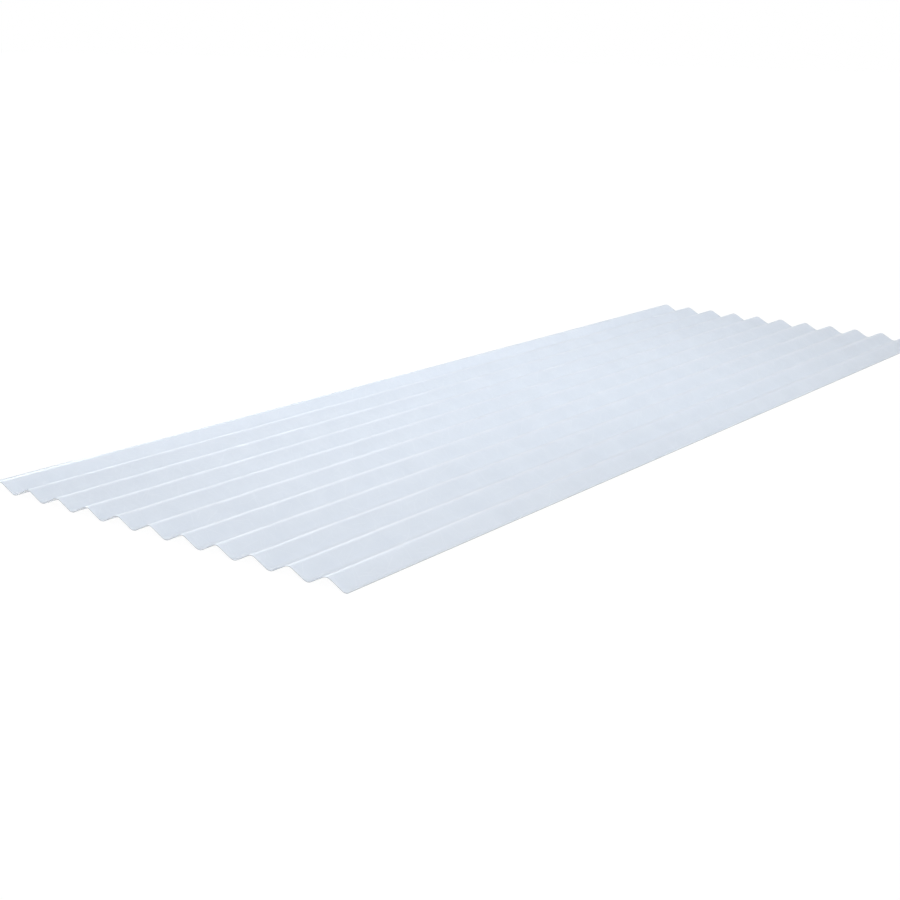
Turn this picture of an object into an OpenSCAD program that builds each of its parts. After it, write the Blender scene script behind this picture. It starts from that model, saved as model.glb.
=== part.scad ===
// Corrugated sheet of glass-fibre polyester, lying on a level floor.
//
// X runs across the corrugations, Y along them and Z up. The origin is on the floor
// under the middle of the sheet. One side edge ends high, just past the first crest,
// and the other ends low, just past the last valley, so that the next sheet can lap
// over it. All sizes are in millimetres.

/* [Sheet] */
// Length along the corrugations
sheet_length = 2500; // [500:10:6000]
// Thickness of the laminate
wall = 1; // [0.6:0.1:3]

/* [Corrugations] */
// Number of crests across the sheet
crests = 11; // [3:1:20]
// Distance from one crest to the next
pitch = 76; // [64:1:180]
// Height of a crest over a valley, both at mid-thickness
depth = 16; // [10:1:30]
// Radius of the crests and valleys at mid-thickness
bend_radius = 16; // [4:0.5:16]

/* [Side edges] */
// How far the sheet runs on past its first crest
crest_margin = 13; // [0:1:30]
// How far the sheet runs on past its last valley
valley_margin = 2; // [0:1:30]

/* [Hidden] */

// Flat facets in the arc from the top of a bend to where its flank begins
facets = 8;

sheet_width = crest_margin + (crests - 0.5) * pitch + valley_margin;
sheet_height = depth + wall;

// A flank is the straight stretch that touches the bends of a crest and of the valley
// next to it. It crosses the line between their two centres at mid-length.
centre_rise = 2 * bend_radius - depth;
centre_distance = norm([pitch / 2, centre_rise]);
flank_angle = asin(2 * bend_radius / centre_distance) - atan2(centre_rise, pitch / 2);

// Points along one face of the sheet, from left to right, with the first crest at
// X = 0 and mid-height at 0. offset is the face's distance above the middle line.
// Bend -1 is the valley left of the first crest, even bends are crests, and the last
// one is the crest right of the last valley: the wave runs on past both side edges.
function face_points(offset) = [
    for (bend = [-1 : 2 * crests])
        let (
            up = bend % 2 == 0 ? 1 : -1,
            radius = bend_radius + up * offset,
            centre = [bend * pitch / 2, up * (depth / 2 - bend_radius)]
        )
        for (facet = [-facets : facets])
            let (angle = flank_angle * facet / facets)
            centre + radius * [sin(angle), up * cos(angle)]
];

function reversed(points) = [for (i = [len(points) - 1 : -1 : 0]) points[i]];

// Section of the sheet: the band between its two faces, trimmed at the side edges
module section() {
    intersection() {
        translate([crest_margin - sheet_width / 2, sheet_height / 2])
            polygon(concat(face_points(wall / 2), reversed(face_points(-wall / 2))));
        translate([-sheet_width / 2, 0])
            square([sheet_width, sheet_height]);
    }
}

// The sheet: one section all along its length, cut square at both ends
module corrugated_sheet() {
    color([0.87, 0.91, 0.96])
        rotate([90, 0, 0])
            linear_extrude(height = sheet_length, center = true)
                section();
}

corrugated_sheet();
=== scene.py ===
# %% [markdown]
# # A corrugated sheet of glass-fibre polyester
#
# The object is one sheet of translucent roofing: glass fibre soaked in polyester resin,
# pressed into even waves while it is soft, and sawn to length once it is hard. It is a
# thin shell of one material, so it is modelled as one piece: the section of the waves is
# drawn first, and the sheet is made from it by extrusion, as the real one runs out of
# its press.
#
# The exact shape, and the size, come from the CAD model. This script makes the sheet
# that is seen: the same section, with smooth bends, a free edge that has sprung up a
# little, waves that aren't ruled lines, and the finish of the resin.

import math

import bpy
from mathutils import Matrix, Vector


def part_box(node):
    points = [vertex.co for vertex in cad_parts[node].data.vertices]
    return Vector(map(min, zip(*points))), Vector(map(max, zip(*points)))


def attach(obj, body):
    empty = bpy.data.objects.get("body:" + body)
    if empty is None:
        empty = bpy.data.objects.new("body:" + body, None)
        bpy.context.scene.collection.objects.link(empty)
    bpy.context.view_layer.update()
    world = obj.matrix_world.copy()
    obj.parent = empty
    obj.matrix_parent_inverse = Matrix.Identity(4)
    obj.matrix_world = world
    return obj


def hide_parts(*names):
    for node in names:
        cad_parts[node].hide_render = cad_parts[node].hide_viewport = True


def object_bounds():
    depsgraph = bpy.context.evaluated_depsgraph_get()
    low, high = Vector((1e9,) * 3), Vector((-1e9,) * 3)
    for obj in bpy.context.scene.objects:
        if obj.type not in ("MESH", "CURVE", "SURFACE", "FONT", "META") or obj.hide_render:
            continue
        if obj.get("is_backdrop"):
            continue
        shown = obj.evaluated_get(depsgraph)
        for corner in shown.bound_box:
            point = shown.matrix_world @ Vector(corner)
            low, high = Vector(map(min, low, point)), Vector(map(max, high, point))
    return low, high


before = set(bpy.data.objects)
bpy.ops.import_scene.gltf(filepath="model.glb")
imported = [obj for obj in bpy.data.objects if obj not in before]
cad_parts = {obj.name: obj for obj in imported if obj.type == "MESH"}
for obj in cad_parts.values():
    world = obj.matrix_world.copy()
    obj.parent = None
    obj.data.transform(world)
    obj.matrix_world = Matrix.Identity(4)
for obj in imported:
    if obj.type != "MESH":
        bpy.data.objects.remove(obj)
cad_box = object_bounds()
low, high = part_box("corrugated_sheet")
low, high = Vector(low), Vector(high)
size = high - low
print("sheet, metres:", [round(s, 4) for s in size])

# %% [markdown]
# ## The camera
#
# The sheet lies on the floor and is seen from above one of its near corners, low enough
# for the waves to hide their own far sides. The camera comes before the modelling,
# because it says which details can be seen and how large they are.

# %% Camera
camera_place = (1.712, -2.818, 0.786)
camera_turn = (74.547, -1.252, 36.010)
focal_length = 59
sensor_width = 36

bpy.ops.object.camera_add(
    location=camera_place,
    rotation=[math.radians(angle) for angle in camera_turn],
)
camera = bpy.context.object
camera.name = "camera"
camera.data.sensor_width = sensor_width
camera.data.lens = focal_length
bpy.context.scene.camera = camera
print("camera is", round(Vector(camera_place).length, 2), "m from the middle of the sheet")

# %% [markdown]
# ## The section of a wave
#
# A wave is a round bend over the crest, a straight flank, a round bend under the valley
# and a flank up again. Once the pitch and the depth are known, the radius of the bends
# fixes it all, because it also gives the slope of the flanks, which touch both bends.
# The sizes are those of the CAD model. The wall is drawn as its middle line.

# %% Sizes of the wave
pitch = 0.076
depth = 0.016
wall = 0.001
bend_radius = 0.016
crest_margin = 0.013
valley_margin = 0.002

centre_rise = 2 * bend_radius - depth
centre_distance = math.hypot(pitch / 2, centre_rise)
flank_angle = math.asin(2 * bend_radius / centre_distance) - math.atan2(centre_rise, pitch / 2)
flank_length = math.sqrt(centre_distance ** 2 - (2 * bend_radius) ** 2)
print("flank slope, degrees:", round(math.degrees(flank_angle), 2))
print("flank length, mm:", round(1000 * flank_length, 2))

# %% [markdown]
# ## Draw one wave
#
# The line starts as a single point: a plane merged to its centre. Spinning that point
# about the middle of a bend draws an arc, and extruding its end draws a flank, so the
# selected point walks along the wave, one bend and one flank at a time. Twelve steps
# make a bend look round in a close view.

# %% Draw one wave
bend_steps = 12
end_inset = wall / 20

first_crest = low.x + crest_margin
middle = (low.z + high.z) / 2
bend_half_width = bend_radius * math.sin(flank_angle)
bend_drop = bend_radius * (1 - math.cos(flank_angle))
start = Vector((
    first_crest - pitch - bend_half_width,
    low.y + end_inset,
    middle + depth / 2 - bend_drop,
))

bpy.ops.object.select_all(action="DESELECT")
bpy.ops.mesh.primitive_plane_add(size=wall, location=start)
sheet = bpy.context.object
sheet.name = "laminate_sheet"
bpy.ops.object.transform_apply(location=True, rotation=False, scale=False)
bpy.ops.object.mode_set(mode="EDIT")
bpy.ops.mesh.select_all(action="SELECT")
bpy.ops.mesh.merge(type="CENTER")


def spin_bend(centre_x, up):
    """Draws a bend over a crest (up is 1) or under a valley (up is -1)."""
    bpy.ops.mesh.spin(
        steps=bend_steps,
        angle=2 * flank_angle,
        center=(centre_x, start.y, middle + up * (depth / 2 - bend_radius)),
        axis=(0, -up, 0),
    )


def draw_flank(up):
    """Draws a flank that rises (up is 1) or falls (up is -1) to the right."""
    run = flank_length * math.cos(flank_angle)
    rise = up * flank_length * math.sin(flank_angle)
    bpy.ops.mesh.extrude_region_move(TRANSFORM_OT_translate={"value": (run, 0, rise)})


spin_bend(first_crest - pitch, 1)
draw_flank(-1)
spin_bend(first_crest - pitch / 2, -1)
draw_flank(1)
bpy.ops.object.mode_set(mode="OBJECT")
print("one wave has", len(sheet.data.vertices), "vertices")

# %% [markdown]
# ## From one wave to the whole section
#
# The press repeats one tool, so an Array modifier repeats the wave with a step of one
# pitch, and welds each wave to the next. The line starts and ends beyond the sheet, as
# the raw one does, and its two side edges are trimmed by an upright cut. The cuts leave
# room for the wall, which will stand square to the slope of the line: one edge is left
# high on a flank, past the first crest, and the other low, just past the last valley.

# %% Repeat the wave and trim the side edges
wave_count = math.ceil(size.x / pitch) + 1
hair = 0.00002
left_inset = wall / 2 * math.sin(flank_angle) + hair
right_inset = wall / 2 * valley_margin / bend_radius + hair


def apply_modifier(kind, **settings):
    """Adds a modifier to the sheet, sets it up and applies it."""
    modifier = sheet.modifiers.new(kind.lower(), kind)
    for name, value in settings.items():
        setattr(modifier, name, value)
    bpy.ops.object.modifier_apply(modifier=modifier.name)


def trim(x, outward):
    """Cuts away all of the line beyond x, on the side that outward points to."""
    bpy.ops.mesh.select_all(action="SELECT")
    bpy.ops.mesh.bisect(
        plane_co=(x, 0, 0),
        plane_no=(outward, 0, 0),
        clear_outer=True,
        threshold=wall / 1000,
    )


apply_modifier(
    "ARRAY",
    count=wave_count,
    use_relative_offset=False,
    use_constant_offset=True,
    constant_offset_displace=(pitch, 0, 0),
    use_merge_vertices=True,
    merge_threshold=wall / 100,
)
bpy.ops.object.mode_set(mode="EDIT")
trim(low.x + left_inset, -1)
trim(high.x - right_inset, 1)
bpy.ops.object.mode_set(mode="OBJECT")
print("the section has", len(sheet.data.vertices), "vertices")

# %% [markdown]
# ## From the section to the sheet
#
# The line is extruded along the waves. It is done in many short rows, and not in one
# long one, because the next steps bend the sheet a little between the rows.

# %% Extrude the rows
row_count = 120
row = (size.y - 2 * end_inset) / row_count

bpy.ops.object.mode_set(mode="EDIT")
bpy.ops.mesh.select_all(action="SELECT")
for _ in range(row_count):
    bpy.ops.mesh.extrude_region_move(TRANSFORM_OT_translate={"value": (0, row, 0)})
bpy.ops.mesh.select_all(action="SELECT")
bpy.ops.mesh.normals_make_consistent(inside=False)
bpy.ops.object.mode_set(mode="OBJECT")
print("middle surface:", len(sheet.data.polygons), "faces,", round(1000 * row, 2), "mm rows")

# %% [markdown]
# ## The free edge
#
# The high side edge has no wave beyond it to hold it down, and near one corner it has
# sprung up until it is almost level with its crest. The move is largest at the corner
# and dies out along the edge and towards the crest, so a vertex group holds how much of
# it each point takes, and a Displace modifier makes the move.

# %% Spring up the free edge
spring_height = 0.0046
spring_length = 0.30
spring_fade = 0.14
spring_curve = 3


def weigh(group_name, weight_at):
    """Adds a vertex group whose weights come from a function of a point's place."""
    group = sheet.vertex_groups.new(name=group_name)
    for vertex in sheet.data.vertices:
        weight = weight_at(vertex.co)
        if weight > 0:
            group.add([vertex.index], min(weight, 1), "REPLACE")


def spring_weight(point):
    """Grows as a curve from the crest to the edge, and is full from a way off the corner."""
    past_crest = (first_crest - point.x) / crest_margin
    towards_corner = (spring_length - (point.y - low.y)) / spring_fade
    return max(past_crest, 0) ** spring_curve * min(max(towards_corner, 0), 1)


weigh("free_edge", spring_weight)
apply_modifier(
    "DISPLACE",
    direction="Z",
    strength=spring_height,
    mid_level=0,
    vertex_group="free_edge",
)
print("the free edge is lifted by", 1000 * spring_height, "mm at the corner")

# %% [markdown]
# ## The ripple
#
# The waves of a pressed sheet wander a little from side to side, which is why the
# highlights along the crests tremble. Soft noise moves the points sideways only, and
# less and less near the side edges, so the sheet keeps its height and its width.

# %% Ripple the waves sideways
ripple = 0.0030
ripple_size = 0.07
ripple_fade = 0.04
ripple_margin = 0.05

ripple_noise = bpy.data.textures.new("ripple", "CLOUDS")
ripple_noise.noise_scale = ripple_size
ripple_noise.noise_depth = 1


def ripple_weight(point):
    """Full inside the sheet, and nothing from just inside each side edge."""
    return min(point.x - low.x, high.x - point.x) / ripple_fade - ripple_margin


weigh("ripple", ripple_weight)
apply_modifier(
    "DISPLACE",
    texture=ripple_noise,
    texture_coords="LOCAL",
    direction="X",
    strength=ripple,
    mid_level=0.5,
    vertex_group="ripple",
)
print("the waves wander by up to", 1000 * ripple / 2, "mm to each side")

# %% [markdown]
# ## The wall
#
# A Solidify modifier gives the surface its wall, half on each side of the middle line.
# Even offset keeps it as thick round the bends as on the flanks, and the wall is a hair
# thinner than the real one, so that it stays inside the box of the CAD model. The rim is
# the sawn edge, which doesn't look like the faces, so it takes the second material.
# Smooth shading then stops at the sawn edges, because they turn by a right angle.

# %% Give the sheet its wall
smooth_below = math.radians(30)

apply_modifier(
    "SOLIDIFY",
    thickness=wall - hair,
    offset=0,
    use_even_offset=True,
    material_offset_rim=1,
)
bpy.ops.object.shade_smooth_by_angle(angle=smooth_below)
print("the sheet has", len(sheet.data.polygons), "faces")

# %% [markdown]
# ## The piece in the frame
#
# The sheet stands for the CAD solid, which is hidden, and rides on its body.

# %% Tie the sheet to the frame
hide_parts("corrugated_sheet")
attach(sheet, "root")
print("laminate_sheet stands for corrugated_sheet")

# %% [markdown]
# ## Helpers for materials
#
# Each material is a tree of nodes. One helper adds a node and fills in its inputs, and
# another starts a material with its shader and with the place of a point on the piece,
# which is in metres, so that every pattern has a real size.

# %% Node helpers
usual_noise = (0.3, 0.7)


def add_node(tree, kind, inputs=None, **settings):
    """Adds a node, sets its properties, and sets or links its inputs by name or number."""
    node = tree.nodes.new(kind)
    for name, value in settings.items():
        setattr(node, name, value)
    for key, value in (inputs or {}).items():
        if isinstance(value, bpy.types.NodeSocket):
            tree.links.new(value, node.inputs[key])
        else:
            node.inputs[key].default_value = value
    return node


def calculate(tree, operation, *values, clamp=False):
    """A Math node; its values are numbers or sockets. Returns its output."""
    inputs = dict(enumerate(values))
    node = add_node(tree, "ShaderNodeMath", inputs, operation=operation, use_clamp=clamp)
    return node.outputs[0]


def calculate_vector(tree, operation, first, second):
    """A Vector Math node. Returns its output."""
    inputs = {0: first, 1: second}
    return add_node(tree, "ShaderNodeVectorMath", inputs, operation=operation).outputs[0]


def remap(tree, value, from_min, from_max, to_min=0.0, to_max=1.0, kind="LINEAR"):
    """A Map Range node: stretches a value from one range to another. Returns its output."""
    inputs = {
        "Value": value,
        "From Min": from_min,
        "From Max": from_max,
        "To Min": to_min,
        "To Max": to_max,
    }
    return add_node(tree, "ShaderNodeMapRange", inputs, interpolation_type=kind).outputs[0]


def mix_colours(tree, factor, first, second):
    """A Mix node for colours. Returns its output."""
    node = add_node(tree, "ShaderNodeMix", data_type="RGBA")
    for key, value in (("Factor", factor), ("A", first), ("B", second)):
        socket = [s for s in node.inputs if s.name == key and s.enabled][0]
        if isinstance(value, bpy.types.NodeSocket):
            tree.links.new(value, socket)
        else:
            socket.default_value = value
    return [s for s in node.outputs if s.enabled][0]


def noise(tree, place, scale, detail):
    """Soft noise whose blotches are about 1/scale metres across. Returns its value."""
    inputs = {"Vector": place, "Scale": scale, "Detail": detail}
    return add_node(tree, "ShaderNodeTexNoise", inputs).outputs[0]


def spread(tree, soft_noise, to_min=0.0, to_max=1.0):
    """Stretches soft noise, which is mostly within usual_noise, to a range."""
    return remap(tree, soft_noise, *usual_noise, to_min, to_max)


def new_group(name, inputs, outputs):
    """Starts a node group. Returns its tree, its input sockets and its output node."""
    tree = bpy.data.node_groups.new(name, "ShaderNodeTree")
    for in_out, sockets in (("INPUT", inputs), ("OUTPUT", outputs)):
        for socket_name, kind in sockets.items():
            tree.interface.new_socket(socket_name, in_out=in_out, socket_type=kind)
    group_input = tree.nodes.new("NodeGroupInput")
    group_output = tree.nodes.new("NodeGroupOutput")
    return tree, group_input.outputs, group_output


def new_material(name):
    """Starts a material. Returns it, its tree, its shader and the place on the piece."""
    material = bpy.data.materials.new(name)
    material.use_nodes = True
    tree = material.node_tree
    tree.nodes.clear()
    shader = add_node(tree, "ShaderNodeBsdfPrincipled")
    add_node(tree, "ShaderNodeOutputMaterial", {"Surface": shader.outputs[0]})
    place = add_node(tree, "ShaderNodeTexCoord").outputs["Object"]
    return material, tree, shader, place


print("node helpers are ready")

# %% [markdown]
# ## Chopped glass
#
# The glass lies in the resin as a mat of short strands, about 1 mm wide and 30 to 50 mm
# long, thrown down every way on top of each other. A strand is the middle line of a
# Voronoi cell, turned by the cell's own random angle and shifted by its random amount,
# so that each cell holds one straight strand. Several layers of cells of different
# sizes make the tangle, and a little noise in the place keeps the strands from being
# ruler straight. The group is shared by the faces and the sawn edge.

# %% Chopped glass node group
strand_cells = (0.027, 0.032, 0.038, 0.045)
strand_half_width = 0.0005
strand_bend = 0.006
strand_bend_scale = 25
faintest_strand = 0.3
layer_shift = (0.137, 0.211)


def strand_layer(tree, place, cell, layer):
    """One layer of the mat: 1 on its strands and 0 between them."""
    shift = (layer_shift[0] * layer, layer_shift[1] * layer, 0)
    moved = calculate_vector(tree, "ADD", place, shift)
    inputs = {"Vector": moved, "Scale": 1 / cell}
    cells = add_node(tree, "ShaderNodeTexVoronoi", inputs, voronoi_dimensions="2D")
    dice = add_node(tree, "ShaderNodeSeparateColor", {0: cells.outputs["Color"]}).outputs
    from_centre = calculate_vector(tree, "SUBTRACT", moved, cells.outputs["Position"])
    angle = calculate(tree, "MULTIPLY", dice[0], math.pi)
    inputs = {"Vector": from_centre, "Angle": angle}
    turned = add_node(tree, "ShaderNodeVectorRotate", inputs, rotation_type="Z_AXIS")
    across = add_node(tree, "ShaderNodeSeparateXYZ", {0: turned.outputs[0]}).outputs["Y"]
    offset = remap(tree, dice[1], 0, 1, -cell / 4, cell / 4)
    distance = calculate(tree, "ABSOLUTE", calculate(tree, "ADD", across, offset))
    strand = remap(tree, distance, strand_half_width, 2 * strand_half_width, 1, 0, "SMOOTHSTEP")
    return calculate(tree, "MULTIPLY", strand, remap(tree, dice[2], 0, 1, faintest_strand, 1))


def chopped_glass_group():
    """Node group: the place on the sheet to how much glass shows there, from 0 to 1."""
    tree, inputs, output = new_group(
        "chopped_glass",
        {"Place": "NodeSocketVector"},
        {"Glass": "NodeSocketFloat"},
    )
    noise_inputs = {"Vector": inputs["Place"], "Scale": strand_bend_scale}
    bend_noise = add_node(tree, "ShaderNodeTexNoise", noise_inputs)
    centred = calculate_vector(tree, "SUBTRACT", bend_noise.outputs["Color"], (0.5, 0.5, 0.5))
    bend = calculate_vector(tree, "MULTIPLY", centred, (strand_bend, strand_bend, 0))
    place = calculate_vector(tree, "ADD", inputs["Place"], bend)
    glass = 0.0
    for layer, cell in enumerate(strand_cells):
        glass = calculate(tree, "MAXIMUM", glass, strand_layer(tree, place, cell, layer))
    tree.links.new(glass, output.inputs["Glass"])
    return tree


chopped_glass = chopped_glass_group()
print("chopped_glass has", len(chopped_glass.nodes), "nodes")

# %% [markdown]
# ## The faces
#
# The resin is cloudy, and tinted so slightly blue that it reads as cold white. It lets
# through a little under a fifth of what lies below it. Five things vary over it:
#
# - Glass shows as faint, paler strands.
# - The resin is thicker here and thinner there, in soft clouds as large as a hand, which
#   changes its colour and how much it covers.
# - The surface has a soft gloss, hazed in places, and isn't quite flat: it swells softly.
# - The end where y is lowest has been handled and is rubbed shiny. A clear coat over the
#   resin gives that gloss and fades out along the sheet, so the highlights on the crests
#   are bright at that end and die out towards the middle.
# - Every sawn edge is darker, duller and more opaque a few millimetres in along the sides
#   and under a millimetre at the ends, which draws a thin dark outline.

# %% Laminate material
resin_colour = (0.708, 0.788, 0.912, 1)
thick_colour = (0.720, 0.798, 0.920, 1)
strand_colour = (0.800, 0.860, 0.950, 1)
edge_band_colour = (0.420, 0.460, 0.490, 1)
side_band_width = 0.0034
end_band_width = 0.0008
ragged_scale = 160
ragged_share = 0.3
cloud_scale = 12
strand_share = 0.17
strand_cover = 0.4
thin_cover, thick_cover = 0.79, 0.84
haze_scale = 30
gloss_roughness, haze_roughness = 0.28, 0.36
edge_band_roughness = 0.3
rubbed_length = 1.25
rubbed_gloss = 1
coat_roughness = 0.3
swell_scale = 34
swell_height = 0.0006
resin_ior = 1.54
cloudiness = 0.5
cloud_depth = 0.003


def dark_edge_band(tree, place):
    """1 at the sawn edges of the sheet, fading to 0 a little way in."""
    axes = add_node(tree, "ShaderNodeSeparateXYZ", {0: place}).outputs
    ragged = spread(tree, noise(tree, place, ragged_scale, 2), -ragged_share, ragged_share)
    nearest = 2.0
    for axis, half, width in (("X", size.x / 2, side_band_width), ("Y", size.y / 2, end_band_width)):
        inside = calculate(tree, "SUBTRACT", half, calculate(tree, "ABSOLUTE", axes[axis]))
        widths_in = calculate(tree, "DIVIDE", inside, width)
        nearest = calculate(tree, "MINIMUM", nearest, widths_in)
    return remap(tree, calculate(tree, "ADD", nearest, ragged), 0, 1, 1, 0, "SMOOTHSTEP")


def laminate_material():
    """Cloudy resin with glass in it, glossy outside, darker along the sawn edges."""
    material, tree, shader, place = new_material("laminate")
    glass_node = add_node(tree, "ShaderNodeGroup", node_tree=chopped_glass)
    tree.links.new(place, glass_node.inputs["Place"])
    glass = glass_node.outputs["Glass"]
    clouds = spread(tree, noise(tree, place, cloud_scale, 3))
    edge_band = dark_edge_band(tree, place)

    resin = mix_colours(tree, clouds, resin_colour, thick_colour)
    faint_glass = calculate(tree, "MULTIPLY", glass, strand_share)
    strands = mix_colours(tree, faint_glass, resin, strand_colour)
    # Near every sawn edge the colour is mixed towards a dark grey, which draws a thin dark
    # outline round the sheet.
    tree.links.new(mix_colours(tree, edge_band, strands, edge_band_colour), shader.inputs["Base Color"])

    covering_glass = calculate(tree, "MULTIPLY", glass, strand_cover)
    layers = calculate(tree, "ADD", covering_glass, clouds)
    cover = remap(tree, layers, 0, 1 + strand_cover, thin_cover, thick_cover)
    solid = calculate(tree, "ADD", cover, edge_band, clamp=True)
    tree.links.new(solid, shader.inputs["Alpha"])

    hazy = noise(tree, place, haze_scale, 4)
    haze = spread(tree, hazy, gloss_roughness, haze_roughness)
    rough_edge_band = calculate(tree, "MULTIPLY", edge_band, edge_band_roughness)
    rough = calculate(tree, "ADD", haze, rough_edge_band)
    tree.links.new(rough, shader.inputs["Roughness"])

    along = add_node(tree, "ShaderNodeSeparateXYZ", {0: place}).outputs["Y"]
    rubbed = remap(tree, along, low.y, low.y + rubbed_length, rubbed_gloss, 0, "SMOOTHSTEP")
    tree.links.new(rubbed, shader.inputs["Coat Weight"])
    shader.inputs["Coat Roughness"].default_value = coat_roughness

    swell = noise(tree, place, swell_scale, 2)
    inputs = {"Height": swell, "Strength": 1, "Distance": swell_height}
    swollen = add_node(tree, "ShaderNodeBump", inputs).outputs[0]
    tree.links.new(swollen, shader.inputs["Normal"])

    shader.inputs["IOR"].default_value = resin_ior
    shader.inputs["Subsurface Weight"].default_value = cloudiness
    shader.inputs["Subsurface Radius"].default_value = (1, 1, 1)
    shader.inputs["Subsurface Scale"].default_value = cloud_depth
    return material


laminate = laminate_material()
print("laminate has", len(laminate.node_tree.nodes), "nodes")

# %% [markdown]
# ## The sawn edge
#
# The cut face is dull and grey, because the saw leaves it rough and dirt stays in it.
# Ends of strands show in it as paler specks.

# %% Cut edge material
sawn_colour = (0.70, 0.75, 0.78, 1)
dirty_colour = (0.56, 0.60, 0.62, 1)
speck_colour = (0.80, 0.84, 0.87, 1)
grit_scale = 1400
grit_share = 0.4
grit_height = 0.0001
grit_strength = 0.6
grit_roughness = (0.55, 0.80)
dirt_scale = 90
dirt_noise = (0.35, 0.65)


def cut_edge_material():
    """Rough, grey cut face with the pale ends of strands in it."""
    material, tree, shader, place = new_material("cut_edge")
    glass_node = add_node(tree, "ShaderNodeGroup", node_tree=chopped_glass)
    tree.links.new(place, glass_node.inputs["Place"])
    grit = noise(tree, place, grit_scale, 2)
    dirt = remap(tree, noise(tree, place, dirt_scale, 3), *dirt_noise)

    face = mix_colours(tree, dirt, sawn_colour, dirty_colour)
    specks = mix_colours(tree, glass_node.outputs["Glass"], face, speck_colour)
    dark_grit = calculate(tree, "MULTIPLY", grit, grit_share)
    gritty = mix_colours(tree, dark_grit, specks, edge_band_colour)
    tree.links.new(gritty, shader.inputs["Base Color"])
    tree.links.new(spread(tree, grit, *grit_roughness), shader.inputs["Roughness"])
    inputs = {"Height": grit, "Strength": grit_strength, "Distance": grit_height}
    rough_face = add_node(tree, "ShaderNodeBump", inputs).outputs[0]
    tree.links.new(rough_face, shader.inputs["Normal"])
    return material


sheet.data.materials.append(laminate)
sheet.data.materials.append(cut_edge_material())
print("materials:", [material.name for material in sheet.data.materials])

# %% [markdown]
# ## The floor
#
# The floor is a plain white plane that meets the backdrop at the horizon. What the
# camera, a shiny surface or a clear one sees of it is mostly plain white, so that it
# doesn't end in a visible line; the rest is white paint, which takes the shadow of the
# sheet and throws light back at its underside.

# %% Floor
floor_radius = 60
floor_gap = 0.0002
plain_share = 0.95
plain_strength = 1.02
paint_colour = (0.95, 0.95, 0.95, 1)
white = (1, 1, 1, 1)


def seen_directly(tree):
    """1 for what the camera, a shiny surface or a clear one sees, and 0 for light."""
    path = add_node(tree, "ShaderNodeLightPath").outputs
    shiny = calculate(tree, "MAXIMUM", path["Is Camera Ray"], path["Is Glossy Ray"])
    return calculate(tree, "MAXIMUM", shiny, path["Is Transmission Ray"])


bpy.ops.object.select_all(action="DESELECT")
bpy.ops.mesh.primitive_circle_add(
    vertices=96,
    radius=floor_radius,
    fill_type="NGON",
    location=(0, 0, low.z - floor_gap),
)
floor = bpy.context.object
floor.name = "floor"
floor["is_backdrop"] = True

floor_material = bpy.data.materials.new("white_floor")
floor_material.use_nodes = True
tree = floor_material.node_tree
tree.nodes.clear()
paint = add_node(tree, "ShaderNodeBsdfDiffuse", {"Color": paint_colour}).outputs[0]
inputs = {"Color": white, "Strength": plain_strength}
plain = add_node(tree, "ShaderNodeEmission", inputs).outputs[0]
share = calculate(tree, "MULTIPLY", seen_directly(tree), plain_share)
mixed = add_node(tree, "ShaderNodeMixShader", {0: share, 1: paint, 2: plain}).outputs[0]
add_node(tree, "ShaderNodeOutputMaterial", {"Surface": mixed})
floor.data.materials.append(floor_material)
print("floor is", 2 * floor_radius, "m across")

# %% [markdown]
# ## The light
#
# Soft daylight comes from all round, and two soft suns stand over it. The key light
# comes from above, a little from the side that the seen flanks face, so that a flank and
# the valley beside it are equally bright and the strips between the highlights look
# even. The side light is weaker and comes from the other side. It reaches the tops of
# the crests, which the camera sees at a glancing angle, and hardly the seen flanks.

# %% World
daylight = 0.555

world = bpy.data.worlds.new("soft_daylight")
world.use_nodes = True
bpy.context.scene.world = world
tree = world.node_tree
tree.nodes.clear()
strength = remap(tree, seen_directly(tree), 0, 1, daylight, 1)
inputs = {"Color": white, "Strength": strength}
backdrop = add_node(tree, "ShaderNodeBackground", inputs).outputs[0]
add_node(tree, "ShaderNodeOutputWorld", {"Surface": backdrop})
print("daylight strength", daylight)

# %% Key light and side light
suns = (
    {"name": "key_light", "tilt": 15, "strength": 0.87, "spread": 120},
    {"name": "side_light", "tilt": -45, "strength": 0.27, "spread": 60},
)

for sun in suns:
    turn = (0, math.radians(sun["tilt"]), 0)
    bpy.ops.object.light_add(type="SUN", rotation=turn)
    lamp = bpy.context.object
    lamp.name = sun["name"]
    lamp.data.energy = sun["strength"]
    lamp.data.angle = math.radians(sun["spread"])
    print(sun["name"], "is tilted", sun["tilt"], "degrees to the right")

# %% [markdown]
# ## Two soft lamps
#
# Daylight alone leaves the sheet equally bright all over. A fill light high above the
# right side is aimed past the middle of the left one, so that the sheet is brightest
# there and a little darker towards its ends. A small near light keeps the near right
# corner from falling back.

# %% Fill light and near light
lamps = (
    {
        "name": "fill_light",
        "place": Vector((1.2, -0.2, 3.0)),
        "target": Vector((-0.85, 0.12, 0.0)),
        "power": 138,
        "cone": 56,
        "radius": 0.4,
    },
    {
        "name": "near_light",
        "place": Vector((0.75, -1.45, 1.5)),
        "target": Vector((0.30, -1.12, 0.0)),
        "power": 12,
        "cone": 50,
        "radius": 0.3,
    },
)

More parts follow.
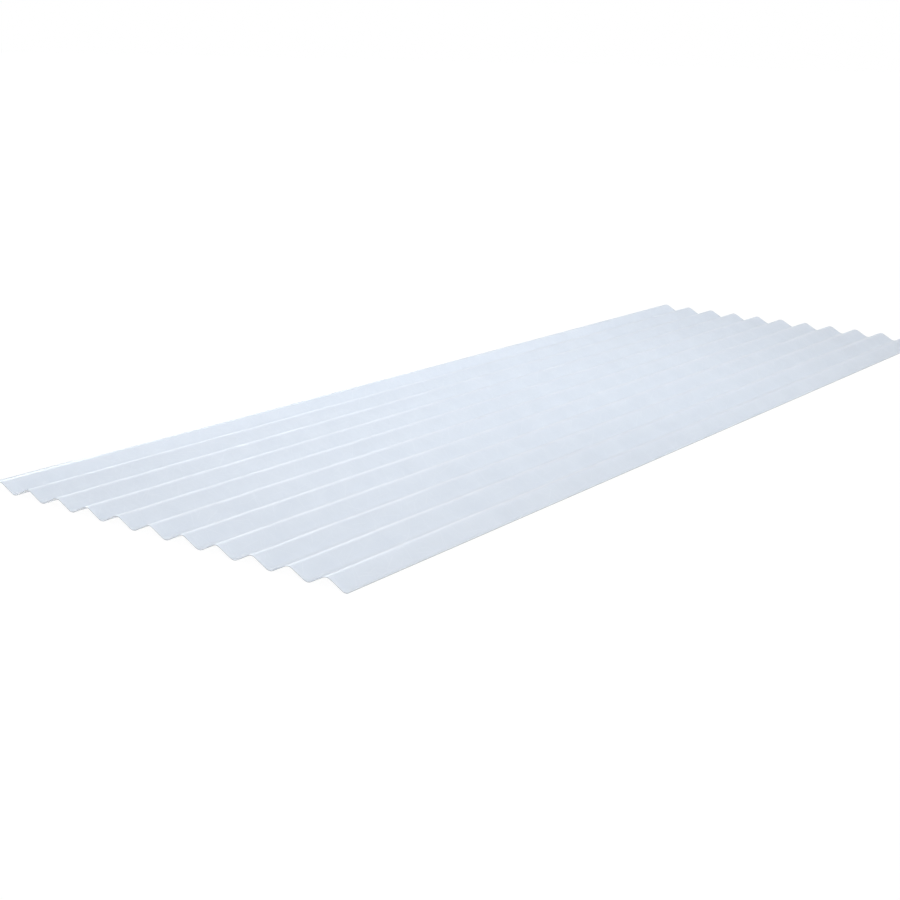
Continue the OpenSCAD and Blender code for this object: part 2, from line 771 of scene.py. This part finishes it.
for soft_lamp in lamps:
    bpy.ops.object.light_add(type="SPOT", location=soft_lamp["place"])
    lamp = bpy.context.object
    lamp.name = soft_lamp["name"]
    lamp.data.energy = soft_lamp["power"]
    lamp.data.spot_size = math.radians(soft_lamp["cone"])
    lamp.data.spot_blend = 1
    lamp.data.shadow_soft_size = soft_lamp["radius"]
    aim = soft_lamp["target"] - soft_lamp["place"]
    lamp.rotation_euler = aim.to_track_quat("-Z", "Y").to_euler()
    print(soft_lamp["name"], "is", soft_lamp["place"].z, "m up")

# %% [markdown]
# ## The windows
#
# Two low windows stand far off on the left, slightly blue from the sky in them. A crest
# is round, so it mirrors a window as a thin bright line, while the flanks that are seen
# are turned away from both. The bright window is mirrored on the near left of the
# sheet, and the dim one further along and further right, so the lines fade both ways.

# %% Windows
windows = (
    {
        "name": "bright_window",
        "place": (-3.5, 1.25, 0.6),
        "width": 2.4,
        "height": 1.16,
        "power": 12.5,
    },
    {
        "name": "dim_window",
        "place": (-3.5, 3.25, 0.9),
        "width": 1.6,
        "height": 1.4,
        "power": 10.5,
    },
)
window_colour = (0.80, 0.92, 1.0)
to_the_right = Vector((1, 0, 0))

for window in windows:
    bpy.ops.object.light_add(type="AREA", location=window["place"])
    lamp = bpy.context.object
    lamp.name = window["name"]
    lamp.data.shape = "RECTANGLE"
    lamp.data.size = window["width"]
    lamp.data.size_y = window["height"]
    lamp.data.energy = window["power"]
    lamp.data.color = window_colour
    lamp.rotation_euler = to_the_right.to_track_quat("-Z", "Y").to_euler()
    print(window["name"], "is", round(Vector(window["place"]).length, 1), "m away")

# %% [markdown]
# ## The view
#
# The Standard view shows a colour as it is written.

# %% View
view_settings = bpy.context.scene.view_settings
view_settings.view_transform = "Standard"
print("the view transform is", view_settings.view_transform)

# %% [markdown]
# ## The two boxes
#
# The sheet is meant to stay inside the box of the CAD model, and both boxes are printed.

# %% Print the boxes
shown_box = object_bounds()
boxes = {
    "cad": [list(corner) for corner in cad_box],
    "visual": [list(corner) for corner in shown_box],
}
for name, box in boxes.items():
    print(name, "box, mm:", [[round(1000 * c, 2) for c in corner] for corner in box])
